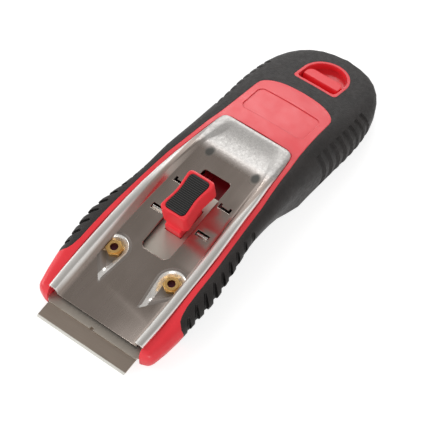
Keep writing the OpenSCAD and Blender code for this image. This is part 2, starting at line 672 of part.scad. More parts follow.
// Coil spring behind the latch
spring_turns = 5;
spring_rings = 12;
spring_sides = 6;
spring_from = latch_stem_at + latch_stem_len + spring_wire + seat_gap;
spring_to = spring_seat - spring_wire - seat_gap;
function coil_point(t) = [spring_from + (spring_to - spring_from) * t,
    spring_r * cos(360 * spring_turns * t), spring_z + spring_r * sin(360 * spring_turns * t)];
function coil_ring(t) =
    let (a = 360 * spring_turns * t, c = coil_point(t))
    [for (i = [0 : spring_sides - 1]) let (b = 360 * i / spring_sides)
        c + spring_wire * [sin(b), cos(b) * cos(a), cos(b) * sin(a)]];
module latch_spring() {
    color([0.7, 0.7, 0.72]) ground_frame()
        loft([for (i = [0 : spring_turns * spring_rings]) coil_ring(i / (spring_turns * spring_rings))],
            [[for (i = [0 : spring_sides - 1]) i]]);
}

// Bay for the spare blades, closed by a hinged door
bay_end = bay_start + bay_len;
hinge_in = 2.9;
hinge_at = bay_start + hinge_in;
hinge_z = 2.4;
knuckle_r = 1.9;
knuckle_w = 5;
knuckle_y = 8;
lug_w = 3.6;
lug_y = knuckle_y - lug_w - slide_gap;
door_low = 0.25;
door_rear = bay_end - slide_gap / 2;
lip_len = 2.6;
lip_w = latch_stem_w - 2 * slide_gap;
stud_in = 4;
stud_at = bay_start + stud_in;
stud_r = 1;
blades_in = 7.4;
blades_at = bay_start + blades_in;
spare_count = 2;
stow_gap = 0.1;
spring_leaf_t = 0.4;
spares_low = bay_h - spare_count * (blade_t + seat_gap) - stow_gap;
leaf_top = spares_low - seat_gap;
module bay_cut() {
    slab(bay_start, -overrun, [bay_len, bay_w, bay_h + overrun]);
}
module spring_stud() {
    translate([stud_at, 0, 0]) {
        translate([0, 0, leaf_top + seat_gap]) cylinder(r = 2 * stud_r, h = bay_h - leaf_top);
        translate([0, 0, leaf_top - 2 * spring_leaf_t]) cylinder(r = stud_r, h = bay_h - leaf_top);
        translate([0, 0, leaf_top - 3 * spring_leaf_t]) cylinder(r = 1.6 * stud_r, h = 1.5 * spring_leaf_t);
    }
}

badge_at = 106;
badge_len = 12.3;
badge_w = 27;
badge_r = 2.2;
badge_mid = badge_at + badge_len / 2;
badge_curve_r = pow(flat_w(badge_mid), 2) / (2 * crown_z(badge_mid));
badge_tilt = atan((top_z(badge_at) - top_z(badge_at + badge_len)) / badge_len);
module badge_recess() {
    difference() {
        translate([0, 0, bay_h]) linear_extrude(body_h) hull() for (x = [0, 1], y = [-1, 1])
            translate([badge_at + badge_r + x * (badge_len - 2 * badge_r), y * (badge_w / 2 - badge_r)]) circle(badge_r);
        translate([badge_mid, 0, top_z(badge_mid) - badge_d]) rotate([0, badge_tilt, 0])
            translate([-badge_len, 0, -badge_curve_r]) rotate([0, 90, 0])
                cylinder(r = badge_curve_r, h = 2 * badge_len, $fn = 360);
    }
}

module upper_shell() {
    color([0.85, 0.18, 0.22]) {
        difference() {
            ground_frame() difference() {
                shell_solid();
                slab(lower_start, -2 * overrun, [tool_len, 2 * tool_w, split_h + 2 * overrun]);
                bay_cut();
                latch_chamber();
                window_cavity();
                shell_screw_holes();
                badge_recess();
            }
            deck_frame() {
                difference() {
                    trough();
                    carrier_rails();
                }
                cover_seat();
                cover_screw_holes();
            }
        }
        ground_frame() spring_stud();
    }
}

module lower_shell() {
    color([0.75, 0.15, 0.18]) ground_frame() {
        difference() {
            intersection() {
                core_body(0);
                slab(lower_start, -overrun, [tool_len, 2 * tool_w, split_h + overrun]);
            }
            bay_cut();
            latch_chamber();
            shell_screw_holes();
        }
        both_sides() difference() {
            union() {
                translate([hinge_at, lug_y, hinge_z]) rotate([-90, 0, 0]) cylinder(r = knuckle_r, h = lug_w);
                translate([bay_start - overrun, lug_y, hinge_z]) cube([hinge_at - bay_start + overrun, lug_w, knuckle_r]);
            }
            translate([hinge_at, 0, hinge_z]) rotate([-90, 0, 0]) cylinder(r = pin_r + run_gap, h = bay_w);
        }
    }
}

module storage_door() {
    color([0.78, 0.16, 0.2]) ground_frame() difference() {
        union() {
            slab(hinge_at, door_low, [door_rear - hinge_at, bay_w - 2 * slide_gap, door_t]);
            slab(door_rear - lip_len, door_low + door_t - seat_gap,
                [2 * lip_len, lip_w, door_t - 2 * seat_gap]);
            both_sides() {
                translate([hinge_at, knuckle_y, hinge_z]) rotate([-90, 0, 0]) cylinder(r = knuckle_r, h = knuckle_w);
                translate([hinge_at, knuckle_y, door_low]) cube([knuckle_r, knuckle_w, hinge_z - door_low]);
            }
        }
        both_sides() {
            translate([hinge_at, 0, hinge_z]) rotate([-90, 0, 0]) cylinder(r = pin_r + run_gap, h = bay_w);
            translate([hinge_at, lug_y - slide_gap, hinge_z]) rotate([-90, 0, 0])
                cylinder(r = knuckle_r + slide_gap, h = lug_w + 2 * slide_gap);
        }
    }
}

module door_hinge_pin() {
    color([0.6, 0.6, 0.62]) ground_frame() translate([hinge_at, -knuckle_y - knuckle_w, hinge_z]) rotate([-90, 0, 0])
        cylinder(r = pin_r, h = 2 * (knuckle_y + knuckle_w));
}

// A blade: bevelled edge, plain back and two locating holes
bevel_len = 1.2;
peg_y = 9;
peg_at = 13.5;
peg_r = 1;
module blade_plate(t) {
    difference() {
        translate([0, blade_w / 2, 0]) rotate([90, 0, 0]) linear_extrude(blade_w) polygon([
            [0, 0], [blade_len, 0], [blade_len, t], [bevel_len, t], [0, t / 4]]);
        both_sides() translate([peg_at, peg_y, -overrun]) cylinder(r = peg_r + 2 * run_gap, h = t + 2 * overrun);
    }
}
module blade() {
    color([0.55, 0.52, 0.47]) deck_frame() translate([0, 0, blade_low]) blade_plate(blade_t);
}
module spare_blades() {
    color([0.6, 0.58, 0.55]) ground_frame() for (i = [0 : spare_count - 1])
        translate([blades_at, 0, spares_low + i * (blade_t + seat_gap)]) blade_plate(blade_t);
}
module stack_spring() {
    color([0.7, 0.7, 0.72]) ground_frame() difference() {
        slab(stud_at - 2 * stud_r, leaf_top - spring_leaf_t,
            [blades_at + blade_len - stud_at + 2 * stud_r, 8 * stud_r, spring_leaf_t]);
        translate([stud_at, 0, 0]) cylinder(r = stud_r + run_gap, h = body_h);
    }
}

// Carrier plate, with a rounded head and a long tongue
head_r = 1.4;
tongue_end = stem_start + button_len - overrun / 2;
notch_w = 1.4;
notch_d = 0.9;
stem_gap = 0.2;
clamp_rivets_at = [blade_len + 5, blade_len + 9];
spring_rivets_in = 2.1;
spring_rivets_at = slot_start - spring_rivets_in;
spring_rivets_y = 2.6;
rivet_r = 0.9;
rivet_head_r = 1.5;
rivet_head_h = 0.4;
module blade_carrier() {
    color([0.63, 0.6, 0.55]) deck_frame() translate([0, 0, carrier_low]) difference() {
        linear_extrude(carrier_t) {
            hull() for (y = [-1, 1]) {
                translate([carrier_start + head_r, y * (head_w / 2 - head_r)]) circle(head_r);
                translate([carrier_start + head_len - head_r / 2, y * (head_w / 2 - head_r / 2)]) circle(head_r / 2);
            }
            translate([carrier_start + head_len / 2, -tongue_w / 2])
                square([tongue_end - carrier_start - head_len / 2, tongue_w]);
        }
        slab(carrier_start - overrun, -overrun, [notch_d + overrun, notch_w, carrier_t + 2 * overrun]);
        slab(stem_start - stem_gap, -overrun, [stem_len + 2 * stem_gap, stem_w + 2 * stem_gap, carrier_t + 2 * overrun]);
        rivet_holes(-overrun);
    }
}
module rivet_holes(z) {
    for (x = clamp_rivets_at) translate([x, 0, z]) cylinder(r = rivet_r + run_gap, h = 4 * overrun);
    both_sides() translate([spring_rivets_at, spring_rivets_y, z]) cylinder(r = rivet_r + run_gap, h = 4 * overrun);
}

// Bent leaf that holds the blade up against the carrier
clamp_w = 32;
clamp_arm_w = 9;
clamp_start = 7.5;
clamp_end = clamp_rivets_at[1] + 2 * rivet_r + seat_gap;
clamp_bend = blade_len + 1.5 * clamp_t;
clamp_rise = clamp_bend + 6 * clamp_t;
module blade_clamp() {
    color([0.6, 0.58, 0.55]) deck_frame() difference() {
        union() {
            slab(clamp_start, clamp_low, [blade_len - clamp_start, clamp_w, clamp_t]);
            translate([0, clamp_arm_w / 2, 0]) rotate([90, 0, 0]) linear_extrude(clamp_arm_w) polygon([
                [blade_len - overrun, clamp_low], [clamp_bend, clamp_low],
                [clamp_rise, carrier_low - seat_gap - clamp_t],
                [clamp_end, carrier_low - seat_gap - clamp_t], [clamp_end, carrier_low - seat_gap],
                [clamp_rise - clamp_t, carrier_low - seat_gap], [clamp_bend - clamp_t, clamp_low + clamp_t],
                [blade_len - overrun, clamp_low + clamp_t]]);
            both_sides() translate([peg_at, peg_y, clamp_low]) cylinder(r = peg_r, h = clamp_t + blade_t);
        }
        for (x = clamp_rivets_at) translate([x, 0, clamp_low - overrun])
            cylinder(r = rivet_r + run_gap, h = 4 * overrun);
    }
}
module rivet(low, high) {
    cylinder_from(low - rivet_head_h, rivet_head_r, rivet_head_h);
    cylinder_from(low - seat_gap, rivet_r, high - low + 2 * seat_gap);
    cylinder_from(high, rivet_head_r, rivet_head_h);
}
module cylinder_from(z, r, h) {
    translate([0, 0, z]) cylinder(r = r, h = h);
}
module clamp_rivets() {
    color([0.75, 0.74, 0.72]) deck_frame() for (x = clamp_rivets_at) translate([x, 0, 0])
        rivet(carrier_low - seat_gap - clamp_t - seat_gap / 2, carrier_top + seat_gap / 2);
}

// Lock spring: a leaf under the tongue whose ears rise into the cover's windows
spring_leaf_w = 9;
leaf_start = spring_rivets_at - 2 * rivet_r;
leaf_end = stem_start + stem_len + overrun;
ear_top = -0.15;
module lock_spring() {
    color([0.8, 0.78, 0.75]) deck_frame() difference() {
        union() {
            slab(leaf_start, leaf_low, [leaf_end - leaf_start, spring_leaf_w, leaf_t]);
            slab(ear_at - ear_len / 2, leaf_low, [ear_len, 2 * ear_out, leaf_t]);
            both_sides() translate([ear_at, ear_out, leaf_low]) rotate([90, 0, 0]) linear_extrude(ear_out - ear_in)
                polygon([[-ear_len / 2, 0], [ear_len / 2, 0], [ear_len / 2, -cover_t - leaf_low],
                    [ear_len / 8, ear_top - leaf_low], [-ear_len / 8, ear_top - leaf_low],
                    [-ear_len / 2, -cover_t - leaf_low]]);
        }
        both_sides() translate([spring_rivets_at, spring_rivets_y, leaf_low - overrun])
            cylinder(r = rivet_r + run_gap, h = 4 * overrun);
        translate([button_rivet_at, 0, leaf_low - overrun]) cylinder(r = rivet_r + run_gap, h = 4 * overrun);
    }
}
module spring_rivets() {
    color([0.75, 0.74, 0.72]) deck_frame() both_sides() translate([spring_rivets_at, spring_rivets_y, 0])
        rivet(leaf_low - seat_gap / 2, carrier_top + seat_gap / 2);
}

// Button: a waisted block on a stem, with a ribbed pad let into its top
button_rivet_in = 3;
button_rivet_at = stem_start + stem_len - button_rivet_in;
step_len = 1.2;
step_h = 1.3;
block_start = stem_start + step_len;
block_low = press_travel + 2 * slide_gap;
block_rise = 1;
front_slope = 1;
block_r = 2;
block_end = block_start + button_len - step_len;
block_steps = 12;
rim_t = 0.9;
pad_t = 1.2;
pad_rise = 0.1;
groove_d = 0.3;
function waist(u) = 1 - (1 - waist_w / button_w) * pow(sin(180 * u), 2);
module waisted(inset, r) {
    front = block_start + inset;
    length = block_end - block_start - 2 * inset;
    half = button_w / 2 - inset;
    polygon(both([for (i = [0 : 2 * block_steps]) let (u = (1 - cos(90 * i / block_steps)) / 2, x = length * u)
        [front + x, half * waist(u) - corner_in(x, r) - corner_in(length - x, r)]]));
}
module slide_button() {
    color([0.85, 0.18, 0.22]) deck_frame() difference() {
        union() {
            intersection() {
                linear_extrude(2 * button_h) waisted(0, block_r);
                translate([0, button_w, 0]) rotate([90, 0, 0]) linear_extrude(2 * button_w) polygon([
                    [block_start, block_low], [block_start + stem_len / 2, block_low],
                    [block_start + stem_len / 2 + block_rise, block_low + block_rise], [block_end, block_low + block_rise],
                    [block_end, button_h - front_slope / 2], [block_end - front_slope / 2, button_h],
                    [block_start + front_slope, button_h], [block_start + front_slope / 2, button_h - front_slope / 2]]);
            }
            slab(stem_start, carrier_low, [stem_len, stem_w, block_low + block_rise - carrier_low]);
        }
        translate([0, 0, button_h - pad_t]) linear_extrude(button_h) waisted(front_slope / 2 + rim_t, block_r - rim_t / 2);
        translate([stem_start - overrun, -stem_w, step_h]) cube([step_len + overrun, 2 * stem_w, block_low]);
        translate([button_rivet_at, 0, carrier_low - overrun]) cylinder(r = rivet_r + run_gap, h = 4 * overrun);
    }
}
module button_pad() {
    inset = front_slope / 2 + rim_t + seat_gap;
    pad_len = block_end - block_start - 2 * inset;
    color([0.12, 0.12, 0.12]) deck_frame() difference() {
        translate([0, 0, button_h - pad_t + seat_gap]) linear_extrude(pad_t + pad_rise) waisted(inset, block_r - rim_t / 2);
        for (i = [1 : pad_grooves])
            translate([block_start + inset + pad_len * i / (pad_grooves + 1), -button_w / 2, button_h + pad_rise + groove_d / 4])
                rotate([-90, 0, 0]) cylinder(r = groove_d, h = button_w, $fn = 4);
    }
}
module button_rivet() {
    color([0.75, 0.74, 0.72]) deck_frame() translate([button_rivet_at, 0, 0]) {
        cylinder_from(leaf_low - seat_gap / 2 - rivet_head_h, rivet_head_r, rivet_head_h);
        cylinder_from(leaf_low - seat_gap, rivet_r, carrier_low + 3 * overrun - leaf_low - seat_gap);
    }
}

// Sleeve: rubber round the shells, slit into fins in front and ribbed at the rear
slit_in = 0.3;
slit_low = 1.2;
rib_start = 105;
rib_w = 2.8;
rib_sides = [[1, 0.4], [0.6, 0.8], [0.25, 1]];
function fin_at(i) = fin_start + fin_pitch * i + fin_growth * i * i;
module fin_slits() {
    both_sides() for (i = [0 : slit_count - 1]) {
        mouth_s = (fin_at(i) + fin_at(i + 1)) / 2;
        mouth_y = side_w(mouth_s) + fin_w(mouth_s) + overrun;
        root_y = side_w(mouth_s) - slit_in;
        root_s = mouth_s + (mouth_y - root_y) * tan(fin_sweep);
        translate([0, 0, slit_low]) linear_extrude(body_h) union() {
            translate([root_s, root_y]) circle(slit_root / 2);
            polygon([
                [root_s - slit_root / 2 * cos(fin_sweep), root_y - slit_root / 2 * sin(fin_sweep)],
                [root_s + slit_root / 2 * cos(fin_sweep), root_y + slit_root / 2 * sin(fin_sweep)],
                [mouth_s + slit_mouth / 2 * cos(fin_sweep), mouth_y + slit_mouth / 2 * sin(fin_sweep)],
                [mouth_s - slit_mouth / 2 * cos(fin_sweep), mouth_y - slit_mouth / 2 * sin(fin_sweep)]]);
        }
    }
}
module rib_grooves() {
    both_sides() for (i = [0 : rib_count - 1]) {
        s = rib_start + rib_pitch * i;
        for (part = rib_sides) {
            half = body_half(s, part[1] * rib_d);
            line = [for (k = [crown_steps + 2 : len(half) - 2]) [half[k][1], half[k][2]]];
            translate([s - part[0] * rib_w / 2, 0, 0]) rotate([90, 0, 90]) linear_extrude(part[0] * rib_w)
                polygon(concat(line, [[half_w, line[len(line) - 1][1]], [half_w, line[0][1] + overrun],
                    [line[0][0] + overrun / 2, line[0][1] + overrun]]));
        }
    }
}
module grip_sleeve() {
    color([0.16, 0.15, 0.15]) ground_frame() difference() {
        outer_body();
        core_body(overrun);
        red_area();
        fin_slits();
        rib_grooves();
    }
}

upper_shell();
lower_shell();
grip_sleeve();
steel_cover();
cover_nuts();
cover_screws();
blade_carrier();
blade_clamp();
clamp_rivets();
blade();
lock_spring();
spring_rivets();
slide_button();
button_pad();
button_rivet();
door_latch();
latch_spring();
storage_door();
door_hinge_pin();
spare_blades();
stack_spring();
shell_screws();
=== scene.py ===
"""Razor blade scraper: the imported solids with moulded, rubber, steel and brass finishes.

Lengths are in metres. X points to the blade, Y to the left side and Z up.
"""

import math

import bmesh
import bpy
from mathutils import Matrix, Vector


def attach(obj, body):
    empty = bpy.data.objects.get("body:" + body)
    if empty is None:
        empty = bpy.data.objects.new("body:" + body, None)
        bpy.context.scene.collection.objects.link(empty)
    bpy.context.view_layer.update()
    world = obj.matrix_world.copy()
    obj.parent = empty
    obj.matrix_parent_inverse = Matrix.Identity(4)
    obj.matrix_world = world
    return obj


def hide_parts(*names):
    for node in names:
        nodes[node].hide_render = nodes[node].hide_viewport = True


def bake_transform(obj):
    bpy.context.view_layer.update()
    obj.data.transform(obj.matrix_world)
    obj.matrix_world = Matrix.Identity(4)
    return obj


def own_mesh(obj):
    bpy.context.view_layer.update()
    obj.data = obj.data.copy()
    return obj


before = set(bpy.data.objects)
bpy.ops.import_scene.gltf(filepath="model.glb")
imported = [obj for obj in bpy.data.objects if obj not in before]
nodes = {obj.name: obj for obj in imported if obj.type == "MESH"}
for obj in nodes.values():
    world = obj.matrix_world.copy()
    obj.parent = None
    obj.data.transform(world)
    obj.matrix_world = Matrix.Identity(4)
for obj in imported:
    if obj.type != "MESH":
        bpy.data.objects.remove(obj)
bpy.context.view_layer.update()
scene = bpy.context.scene
scene.view_settings.view_transform = "Standard"


# Camera
def look_at(obj, target):
    obj.rotation_euler = (Vector(target) - obj.location).to_track_quat("-Z", "Y").to_euler()


camera_data = bpy.data.cameras.new("camera")
camera = bpy.data.objects.new("camera", camera_data)
scene.collection.objects.link(camera)
camera.location = (0.3097, 0.2397, 0.5081)
look_at(camera, (0.0126, 0.0074, 0.0122))
camera_data.lens = 151.3
camera_data.sensor_width = 36
camera_data.clip_start = 0.01
scene.camera = camera


# The deck's frame: s runs rearward from the blade's edge along the deck, h is the height over its panel
HALF_LEN = 0.0772
DECK_RISE = 0.0036
SLOPE = math.radians(9.65)
SLOPE_SIN = math.sin(SLOPE)
SLOPE_COS = math.cos(SLOPE)


def on_deck(s, y, h):
    x = HALF_LEN - s * SLOPE_COS + h * SLOPE_SIN
    z = DECK_RISE + s * SLOPE_SIN + h * SLOPE_COS
    return Vector((x, y, z))


def deck_height(place):
    return (place.x - HALF_LEN) * SLOPE_SIN + (place.z - DECK_RISE) * SLOPE_COS


# Material helpers. The first three numbers are the sockets that carry colours in a Mix node
MIX_A = 6
MIX_B = 7
MIX_RESULT = 2
STREAK_DETAIL = 4
EDGE_SAMPLES = 6


def rgb(red, green, blue):
    """A solid colour as the sockets take it."""
    return (red, green, blue, 1)


def grey(value):
    return rgb(value, value, value)


class Graph:
    """Short calls that build a material's nodes. Every texture lies in the object's own coordinates."""

    def __init__(self, name):
        self.material = bpy.data.materials.new(name)
        self.material.use_nodes = True
        self.tree = self.material.node_tree
        self.shader = self.tree.nodes["Principled BSDF"]
        self.place = self.node("ShaderNodeTexCoord").outputs["Object"]

    def node(self, kind, **values):
        made = self.tree.nodes.new(kind)
        for name, value in values.items():
            setattr(made, name, value)
        return made

    def link(self, source, target):
        self.tree.links.new(source, target)

    def put(self, source, target):
        """Link an output to an input, or set the input to a plain value."""
        if hasattr(source, "links"):
            self.link(source, target)
        else:
            target.default_value = source

    def texture(self, kind, vector, **values):
        """A texture node at the given vector, with its inputs set by name."""
        node = self.node(kind)
        self.link(vector, node.inputs["Vector"])
        for name, value in values.items():
            node.inputs[name].default_value = value
        return node.outputs

    def noise(self, waves, detail=2, roughness=0.5):
        """Even noise with so many waves in a metre."""
        values = {"Scale": waves, "Detail": detail, "Roughness": roughness}
        return self.texture("ShaderNodeTexNoise", self.place, **values)["Fac"]

    def streaks(self, waves):
        """Noise with its own number of waves in a metre along X, Y and Z."""
        stretched = self.texture("ShaderNodeMapping", self.place, Scale=waves)["Vector"]
        return self.texture("ShaderNodeTexNoise", stretched, Scale=1, Detail=STREAK_DETAIL)["Fac"]

    def cells(self, waves):
        return self.texture("ShaderNodeTexVoronoi", self.place, Scale=waves)["Distance"]

    def span(self, value, low, high, to_low, to_high):
        """Map the range from low to high onto the one from to_low to to_high, and clamp outside it."""
        node = self.node("ShaderNodeMapRange", clamp=True)
        self.link(value, node.inputs["Value"])
        for name, number in zip(("From Min", "From Max", "To Min", "To Max"), (low, high, to_low, to_high)):
            node.inputs[name].default_value = number
        return node.outputs["Result"]

    def spread(self, noise, to_low=0, to_high=1, low=0.3, high=0.7):
        """Spread the middle of a noise's range over the values from to_low to to_high."""
        return self.span(noise, low, high, to_low, to_high)

    def step(self, value, ends):
        """A mask that is 0 up to the first of the two ends and 1 from the second on."""
        return self.span(value, *ends, 0, 1)

    def math(self, kind, first, *others):
        """Combine the values one after another, or change the first one if it is alone."""
        for other in others or (0,):
            node = self.node("ShaderNodeMath", operation=kind)
            self.put(first, node.inputs[0])
            self.put(other, node.inputs[1])
            first = node.outputs[0]
        return first

    def mix(self, factor, a, b):
        """Colour a where the factor is 0, and b where it is 1."""
        node = self.node("ShaderNodeMix", data_type="RGBA")
        self.put(factor, node.inputs["Factor"])
        self.put(a, node.inputs[MIX_A])
        self.put(b, node.inputs[MIX_B])
        return node.outputs[MIX_RESULT]

    def axes(self):
        node = self.node("ShaderNodeSeparateXYZ")
        self.link(self.place, node.inputs["Vector"])
        return node.outputs

    def over_deck(self):
        """Height over the deck's panel, as deck_height gives it."""
        x, _, z = self.axes()
        ahead = self.math("MULTIPLY", self.math("SUBTRACT", x, HALF_LEN), SLOPE_SIN)
        above = self.math("MULTIPLY", self.math("SUBTRACT", z, DECK_RISE), SLOPE_COS)
        return self.math("ADD", ahead, above)

    def edges(self, radius):
        """A normal that rounds the edges off."""
        node = self.node("ShaderNodeBevel", samples=EDGE_SAMPLES)
        node.inputs["Radius"].default_value = radius
        return node.outputs["Normal"]

    def bump(self, height, strength, distance, normal=None):
        node = self.node("ShaderNodeBump")
        node.inputs["Strength"].default_value = strength
        node.inputs["Distance"].default_value = distance
        self.link(height, node.inputs["Height"])
        if normal is not None:
            self.link(normal, node.inputs["Normal"])
        return node.outputs["Normal"]

    def done(self, colour, roughness, normal, metal=0, specular=0.5):
        """Link what varies over the surface, set what doesn't, and give the finished material."""
        inputs = self.shader.inputs
        self.link(colour, inputs["Base Color"])
        self.link(roughness, inputs["Roughness"])
        self.link(normal, inputs["Normal"])
        inputs["Metallic"].default_value = metal
        inputs["Specular IOR Level"].default_value = specular
        return self.material


# Trough of the shell below the cover, where shade is painted on the red. Each pair is a soft step into it,
# and the last one into its flanks, where the painted shade is darker still
TROUGH_H = (-0.0015, -0.0022)
TROUGH_SIDE = (0.0160, 0.0150)
TROUGH_X = (-0.012, -0.010)
TROUGH_Z = (0.0004, 0.0008)
TROUGH_FLANK = (0.0062, 0.0068)
TROUGH_MIDDLE_SHADE = rgb(0.26, 0.006, 0.014)
TROUGH_FLANK_SHADE = rgb(0.02, 0.004, 0.005)


def moulded_red(name, base, dark, rough, trough=False):
    """Moulded plastic: slight cloudiness, a fine grain, and painted shade in the trough below the cover."""
    g = Graph(name)
    cloud = g.spread(g.noise(60, detail=3), low=0.35)
    colour = g.mix(cloud, base, dark)
    if trough:
        x, y, z = g.axes()
        side = g.math("ABSOLUTE", y)
        inside = g.math("MULTIPLY", g.step(g.over_deck(), TROUGH_H), g.step(side, TROUGH_SIDE),
                        g.step(x, TROUGH_X), g.step(z, TROUGH_Z))
        # Painted shade: dark red in the middle of the trough and near black on its flanks
        trough_shade = g.mix(g.step(side, TROUGH_FLANK), TROUGH_MIDDLE_SHADE, TROUGH_FLANK_SHADE)
        colour = g.mix(inside, colour, trough_shade)
    smears = g.spread(g.noise(220, detail=3), rough - 0.05, rough + 0.07)
    grain = g.bump(g.noise(3200), strength=0.02, distance=0.0001, normal=g.edges(0.0004))
    return g.done(colour, smears, grain)


# Ribs of the pad, with painted shade in their grooves and a painted highlight on their crests: the step from
# the groove to the crest, below the pad's highest point
PAD_TOP = max(deck_height(vertex.co) for vertex in nodes["button_pad"].data.vertices)
RIB_CREST = (PAD_TOP - 0.0002, PAD_TOP - 0.00003)
GROOVE_SHADE = grey(0.001)


def grained_rubber(name, base, light, rough, grain, pores, edge=0.0004, crest=None):
    """Rubber with a leathery grain. Ribs get a painted highlight on their crests and black painted shade in
    their grooves.
    """
    g = Graph(name)
    cloud = g.spread(g.noise(180, detail=4), low=0.35)
    colour = g.mix(cloud, base, light)
    if crest:
        # Painted shade in the rib grooves and a painted highlight on the rib crests
        colour = g.mix(g.step(g.over_deck(), RIB_CREST), GROOVE_SHADE, crest)
    smears = g.spread(g.noise(700, detail=3), rough - 0.07, rough + 0.08)
    pits = g.math("MULTIPLY", g.cells(pores), g.noise(0.7 * pores))
    leather = g.bump(pits, strength=grain, distance=0.00025, normal=g.edges(edge))
    return g.done(colour, smears, leather, specular=0.4)


# A plate's tone changes between these places, which lie under the cover
HEAD_X = (0.045, 0.055)
SCRATCH_DEPTH = 0.00003


def rolled_steel(name, base, dark, rough, waves, streak=0.15, metal=1, head=None):
    """Steel with streaks along its rolling direction, and its own tone at a plate's head."""
    g = Graph(name)
    blotch = g.spread(g.noise(70, detail=3), high=0.75)
    colour = g.mix(blotch, base, dark)
    if head:
        colour = g.mix(g.step(g.axes()[0], HEAD_X), colour, head)
    streaks = g.streaks(waves)
    dull = g.spread(streaks, rough - 0.03, rough + 0.05)
    scratched = g.bump(streaks, streak, SCRATCH_DEPTH, g.edges(0.00015))
    return g.done(colour, dull, scratched, metal=metal)


# Regions of the cover, as soft steps: the scoop, the side walls and their rims, which get a painted
# highlight, and the sheared front edge, which gets a painted shadow
SCOOP_X = (-0.0045, -0.0095)
WALL_Y = (0.0152, 0.0156)
RIM_HIGHLIGHT_Y = (0.0166, 0.0172)
FRONT_SHADOW_X = (0.0660, 0.0665)
FRONT_SHADOW_H = (-0.00012, -0.0003)

# Two spots of painted shade beside the slot, at the rear ends of the side walls, as ovals about the slot's
# line
MARKS_MIDDLE_Y = 0.0013
MARK_X = -0.0051
MARK_Y = 0.0100
MARK_HALF_LENGTH = 0.0021
MARK_HALF_WIDTH = 0.0019
SHADE_SPOT_TONE = 0.88
MARK_FADE = (0.35, 1.35)
MARK_RAGGED = 0.15


def painted_shade_spots(g, x, y):
    """Mask of the painted shade spots, fading from their middles to a ragged edge."""
    sideways = g.math("ABSOLUTE", g.math("SUBTRACT", y, MARKS_MIDDLE_Y))
    across = g.math("DIVIDE", g.math("SUBTRACT", sideways, MARK_Y), MARK_HALF_WIDTH)
    along = g.math("DIVIDE", g.math("SUBTRACT", x, MARK_X), MARK_HALF_LENGTH)
    ragged = g.spread(g.noise(500, detail=3), -MARK_RAGGED, MARK_RAGGED)
    reach = g.math("ADD", g.math("MULTIPLY", across, across), g.math("MULTIPLY", along, along), ragged)
    return g.span(reach, *MARK_FADE, SHADE_SPOT_TONE, 0)


def pressed_steel(name):
    """The cover: polished sheet, dull and mottled where the press drew the scoop; painted highlight, shade
    and shadow.
    """
    g = Graph(name)
    x, y, _ = g.axes()
    side = g.math("ABSOLUTE", y)
    scoop = g.step(x, SCOOP_X)
    rim_highlight = g.step(side, RIM_HIGHLIGHT_Y)
    shade_spots = painted_shade_spots(g, x, y)
    front_edge_shadow = g.math("MULTIPLY", g.step(g.over_deck(), FRONT_SHADOW_H), g.step(x, FRONT_SHADOW_X))
    mottle = g.spread(g.noise(900, detail=6, roughness=0.75), low=0.32, high=0.68)
    cloud = g.spread(g.noise(60, detail=4), low=0.35)

    panel = g.mix(cloud, rgb(0.46, 0.395, 0.355), rgb(0.41, 0.35, 0.31))
    drawn = g.mix(mottle, rgb(0.65, 0.635, 0.615), rgb(0.50, 0.485, 0.47))
    colour = g.mix(scoop, panel, drawn)
    # Painted highlight: the rims much lighter than the panel
    colour = g.mix(rim_highlight, colour, rgb(0.88, 0.86, 0.83))
    # Painted shade: the two dark spots beside the slot
    colour = g.mix(shade_spots, colour, rgb(0.08, 0.085, 0.08))
    # Painted shadow: the front cut edge near black, for the shadow in the gap below it
    colour = g.mix(front_edge_shadow, colour, rgb(0.035, 0.032, 0.03))

    streaks = g.streaks((60, 700, 60))
    polish = g.spread(streaks, 0.22, 0.26)
    smudges = g.spread(g.noise(25), 0, 0.05, low=0.55, high=0.75)
    scoop_dull = g.math("MULTIPLY", scoop, g.span(mottle, 0, 1, 0.26, 0.38))
    wall_dull = g.math("MULTIPLY", g.span(side, *WALL_Y, 0, 0.34), g.span(rim_highlight, 0, 1, 1, 0.3))
    shade_spots_dull = g.math("MULTIPLY", shade_spots, 0.3)
    roughness = g.math("ADD", polish, smudges, scoop_dull, wall_dull, shade_spots_dull)

    scratched = g.bump(streaks, strength=0.06, distance=SCRATCH_DEPTH, normal=g.edges(0.0003))
    pebbled = g.bump(g.math("MULTIPLY", mottle, scoop), strength=0.35, distance=0.00012, normal=scratched)
    return g.done(colour, roughness, pebbled, metal=1)


GROUND_EDGE_X = (0.0756, 0.0758)


def ground_steel(name, base, dark, rough):
    """Blade steel with lines along its width, and a ground edge square to the deck: bare steel, painted far
    lighter as a highlight.
    """
    g = Graph(name)
    x, _, z = g.axes()
    streaks = g.streaks((2600, 140, 300))
    tone = g.mix(g.spread(streaks), base, dark)
    edge = g.step(g.math("SUBTRACT", x, g.math("MULTIPLY", z, math.tan(SLOPE))), GROUND_EDGE_X)
    # The ground edge: bare steel, with a painted highlight that makes it far lighter
    colour = g.mix(edge, tone, rgb(0.86, 0.85, 0.80))
    lines = g.spread(streaks, rough - 0.04, rough + 0.06)
    roughness = g.math("ADD", lines, g.math("MULTIPLY", edge, 0.25))
    return g.done(colour, roughness, g.bump(streaks, 0.2, SCRATCH_DEPTH), metal=1)


